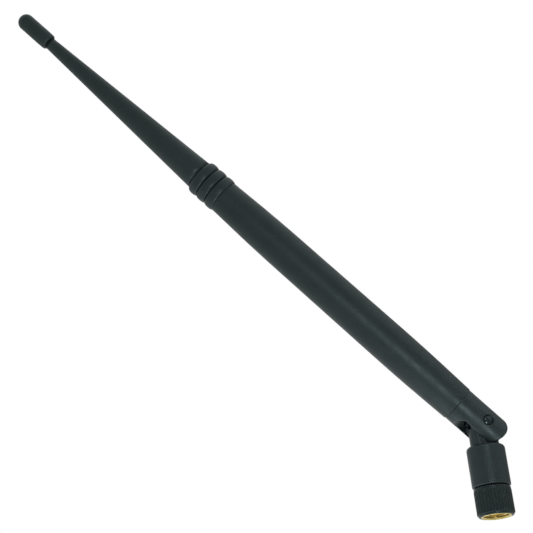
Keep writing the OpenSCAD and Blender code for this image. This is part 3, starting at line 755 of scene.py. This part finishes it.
def nut_insert():
    """The gold-plated insert, with a true helical thread in place of the CAD node's parallel grooves."""
    low, top = span("nut_insert", PLUG)
    outer_r = outer_radius("nut_insert", PLUG, 5)
    heights = along(low + 0.005, top - 0.005, 0.05)
    bores = np.array([inner_radius("nut_insert", PLUG, z) for z in heights])
    thread_low, thread_high = 0.6, 6.4
    threaded = (heights > thread_low) & (heights < thread_high)
    minor_r, major_r = bores[threaded].min(), bores[threaded].max()
    bores[threaded] = major_r
    pitch = 0.907
    flank = (major_r - minor_r) / (pitch / 2)

    def distance(p):
        x, y, z = p.T
        r = np.hypot(x, y)
        turn = (z / pitch - np.arctan2(y, x) / (2 * math.pi)) % 1
        tooth = major_r - np.clip((0.5 - np.abs(turn - 0.5)) * pitch * flank * 1.15, 0, major_r - minor_r)
        faded = np.clip(np.minimum(z - thread_low, thread_high - z) / 0.35, 0, 1)
        bore = np.interp(z, heights, bores)
        bore = bore * (1 - faded) + tooth * faded
        shell = rounded_rod(r, z, outer_r, low, top, 0.2, 0.1)
        return both(shell, (bore - r) * 0.8, 0.06)

    return moulded(
        "nut_thread_insert", distance, (-outer_r, -outer_r, low), (outer_r, outer_r, top), 0.13, PLUG,
        "gold_plate"
    )


def hinge_cable():
    """The cable's jacket as one length, from the plug's ferrule, bent at the hinge, up into the blade."""
    radius = outer_radius("blade_cable_jacket", BLADE, 10)
    low = span("plug_cable_jacket", PLUG)[0]
    high = span("blade_cable_jacket", BLADE)[1]
    part = span("blade_cable_jacket", BLADE)[0]
    start, end = np.array([0, 0, HINGE[2] - part]), BLADE.placed((0, 0, part))
    path = [np.array([0, 0, z]) for z in along(low, start[2] - 0.4, 0.8)]
    for t in along(0, 1, 0.06):
        path.append((1 - t) ** 2 * start + 2 * t * (1 - t) * HINGE + t * t * end)
    path += [BLADE.placed((0, 0, z)) for z in along(part + 0.4, high, 1.0)]
    path = np.array(path)
    sides = 40
    heading = np.gradient(path, axis=0)
    heading /= np.linalg.norm(heading, axis=1)[:, None]
    across = np.array([0.0, 1.0, 0.0])
    angle = np.arange(sides) * 2 * math.pi / sides
    points = []
    for place, ahead in zip(path, heading):
        side = np.cross(across, ahead)
        points.append(place + radius * (np.outer(np.cos(angle), side) + np.outer(np.sin(angle), across)))
    points = np.concatenate(points)
    rings = len(path)
    faces = [
        [i * sides + j, i * sides + (j + 1) % sides, (i + 1) * sides + (j + 1) % sides, (i + 1) * sides + j]
        for i in range(rings - 1) for j in range(sides)
    ]
    faces.append(list(range(sides))[::-1])
    faces.append([(rings - 1) * sides + j for j in range(sides)])
    piece = new_piece("hinge_cable_jacket", points, faces, np.zeros(len(points)), "cable_jacket")
    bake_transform(piece)
    return piece


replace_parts(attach(lower_sheath(), "blade"), "lower_sheath")
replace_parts(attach(upper_mast(), "blade"), "upper_mast")
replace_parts(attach(tip_cap(), "blade"), "tip_cap")
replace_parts(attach(ring_collar(), "blade"), "ring_collar")
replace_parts(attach(clevis(), "blade"), "clevis")
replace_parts(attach(pivot_studs(), "blade"), "pivot_studs")
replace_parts(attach(swivel_barrel(), "barrel"), "swivel_barrel")
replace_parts(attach(nut_grip(), "coupling_nut"), "nut_grip")
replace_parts(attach(nut_insert(), "coupling_nut"), "nut_insert")
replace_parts(hinge_cable(), "cable_bend", "blade_cable_jacket", "plug_cable_jacket")


# ---- Studio ----

def direction(azimuth, elevation):
    """From the object towards a viewer at that azimuth and elevation, in degrees."""
    a, e = math.radians(azimuth), math.radians(elevation)
    return Vector((math.sin(a) * math.cos(e), -math.cos(a) * math.cos(e), math.sin(e)))


CAMERA_AZIMUTH, CAMERA_ELEVATION, CAMERA_ROLL = -14.96, -24.99, 4.76
CAMERA_DISTANCE = 0.4489
CAMERA_LENS = 70.8
hinge_m = Vector(HINGE) * MM
to_camera = direction(CAMERA_AZIMUTH, CAMERA_ELEVATION)
aim = hinge_m + Vector((-0.0853, 0.0039, 0.0720))


def aimed(place, target, roll=0.0):
    turned_to = (target - place).to_track_quat("-Z", "Y").to_matrix().to_4x4()
    return Matrix.Translation(place) @ turned_to @ Matrix.Rotation(math.radians(roll), 4, "Z")


def camera():
    data = bpy.data.cameras.new("camera")
    data.lens = CAMERA_LENS
    data.sensor_width = 36
    data.clip_start = 0.01
    data.clip_end = 20
    made = bpy.data.objects.new("camera", data)
    made.matrix_world = aimed(aim + to_camera * CAMERA_DISTANCE, aim, -CAMERA_ROLL)
    bpy.context.scene.collection.objects.link(made)
    bpy.context.scene.camera = made


def softbox(name, azimuth, elevation, distance, size, power, target, spread=180):
    data = bpy.data.lights.new(name, "AREA")
    data.shape = "DISK"
    data.size = size
    data.energy = power
    data.color = (1.0, 0.98, 1.04)
    data.spread = math.radians(spread)
    made = bpy.data.objects.new(name, data)
    made.matrix_world = aimed(target + direction(azimuth, elevation) * distance, target)
    made.visible_camera = False
    bpy.context.scene.collection.objects.link(made)


def surroundings():
    """White to the camera. To the object it is bright behind, dimmer in front, with a dark flag on each side."""
    world = bpy.data.worlds.new("tent")
    bpy.context.scene.world = world
    world.use_nodes = True
    nodes, links = world.node_tree.nodes, world.node_tree.links
    nodes.clear()
    place = nodes.new("ShaderNodeTexCoord")
    facing = nodes.new("ShaderNodeVectorMath")
    facing.operation = "DOT_PRODUCT"
    facing.inputs[1].default_value = -to_camera
    links.new(place.outputs["Generated"], facing.inputs[0])
    strength = nodes.new("ShaderNodeMapRange")
    strength.interpolation_type = "SMOOTHSTEP"
    for socket, value in zip(list(strength.inputs)[1:], (-0.9, 0.6, WORLD_FRONT, WORLD_BACK)):
        socket.default_value = value
    links.new(facing.outputs["Value"], strength.inputs[0])
    shaped = strength.outputs[0]
    for azimuth, darkest in ((112, 0.35), (-138, 0.7)):
        toward = nodes.new("ShaderNodeVectorMath")
        toward.operation = "DOT_PRODUCT"
        toward.inputs[1].default_value = direction(azimuth, 12)
        links.new(place.outputs["Generated"], toward.inputs[0])
        flag = nodes.new("ShaderNodeMapRange")
        flag.interpolation_type = "SMOOTHSTEP"
        for socket, value in zip(list(flag.inputs)[1:], (0.72, 0.97, 1.0, darkest)):
            socket.default_value = value
        links.new(toward.outputs["Value"], flag.inputs[0])
        dimmed = nodes.new("ShaderNodeMath")
        dimmed.operation = "MULTIPLY"
        links.new(shaped, dimmed.inputs[0])
        links.new(flag.outputs[0], dimmed.inputs[1])
        shaped = dimmed.outputs[0]
    lit = nodes.new("ShaderNodeBackground")
    lit.inputs["Color"].default_value = (0.97, 1.0, 1.0, 1)
    links.new(shaped, lit.inputs["Strength"])
    seen = nodes.new("ShaderNodeBackground")
    seen.inputs["Color"].default_value = (1, 1, 1, 1)
    path = nodes.new("ShaderNodeLightPath")
    mix = nodes.new("ShaderNodeMixShader")
    links.new(path.outputs["Is Camera Ray"], mix.inputs[0])
    links.new(lit.outputs[0], mix.inputs[1])
    links.new(seen.outputs[0], mix.inputs[2])
    output = nodes.new("ShaderNodeOutputWorld")
    links.new(mix.outputs[0], output.inputs["Surface"])


WORLD_FRONT, WORLD_BACK = 0.44, 0.8


def floor():
    """A pale disc under the nut that fades out. From underneath it can't be seen, and it blocks no light."""
    low = cad_box[0].z - 0.001
    sides = 96
    ring = [(3 * math.cos(i * 2 * math.pi / sides), 3 * math.sin(i * 2 * math.pi / sides), low) for i in range(sides)]
    mesh = bpy.data.meshes.new("floor")
    mesh.from_pydata(ring, [], [list(range(sides))])
    paint = Paint("floor_paint")
    shade = paint.blend(paint.noise(120, 3), (0.86, 0.86, 0.85), (0.9, 0.9, 0.89))
    paint.set(Base_Color=shade, Roughness=0.8)
    hidden = paint.add("ShaderNodeBsdfTransparent")
    side = paint.add("ShaderNodeNewGeometry")
    mix = paint.add("ShaderNodeMixShader")
    output = next(n for n in paint.tree.nodes if n.type == "OUTPUT_MATERIAL")
    away = paint.add("ShaderNodeVectorMath", operation="LENGTH")
    paint.feed(away.inputs[0], paint.place)
    faded = paint.spread(away.outputs["Value"], 0.4, 1.6, 0, 1)
    paint.feed(mix.inputs[0], paint.sum("MAXIMUM", side.outputs["Backfacing"], faded))
    paint.feed(mix.inputs[1], paint.surface.outputs[0])
    paint.feed(mix.inputs[2], hidden.outputs[0])
    paint.feed(output.inputs["Surface"], mix.outputs[0])
    mesh.materials.append(paint.material)
    made = bpy.data.objects.new("floor", mesh)
    made.visible_shadow = False
    made.visible_diffuse = False
    made.visible_glossy = False
    bpy.context.scene.collection.objects.link(made)


camera()
surroundings()
floor()
softbox("key", CAMERA_AZIMUTH + 2, CAMERA_ELEVATION + 3, 0.7, 0.19, 0.95, hinge_m)
softbox("side", CAMERA_AZIMUTH + 60, 30, 0.8, 0.6, 0.25, aim)
softbox("upper", -17, 26, 0.5, 0.1, 0.0026, hinge_m - Vector((0, 0, 0.02)), 12)
softbox("below", -60, -68, 0.6, 0.35, 0.7, hinge_m)
softbox("arch", -120, -52, 0.13, 0.06, 0.02, hinge_m)
bpy.context.scene.view_settings.view_transform = "Standard"
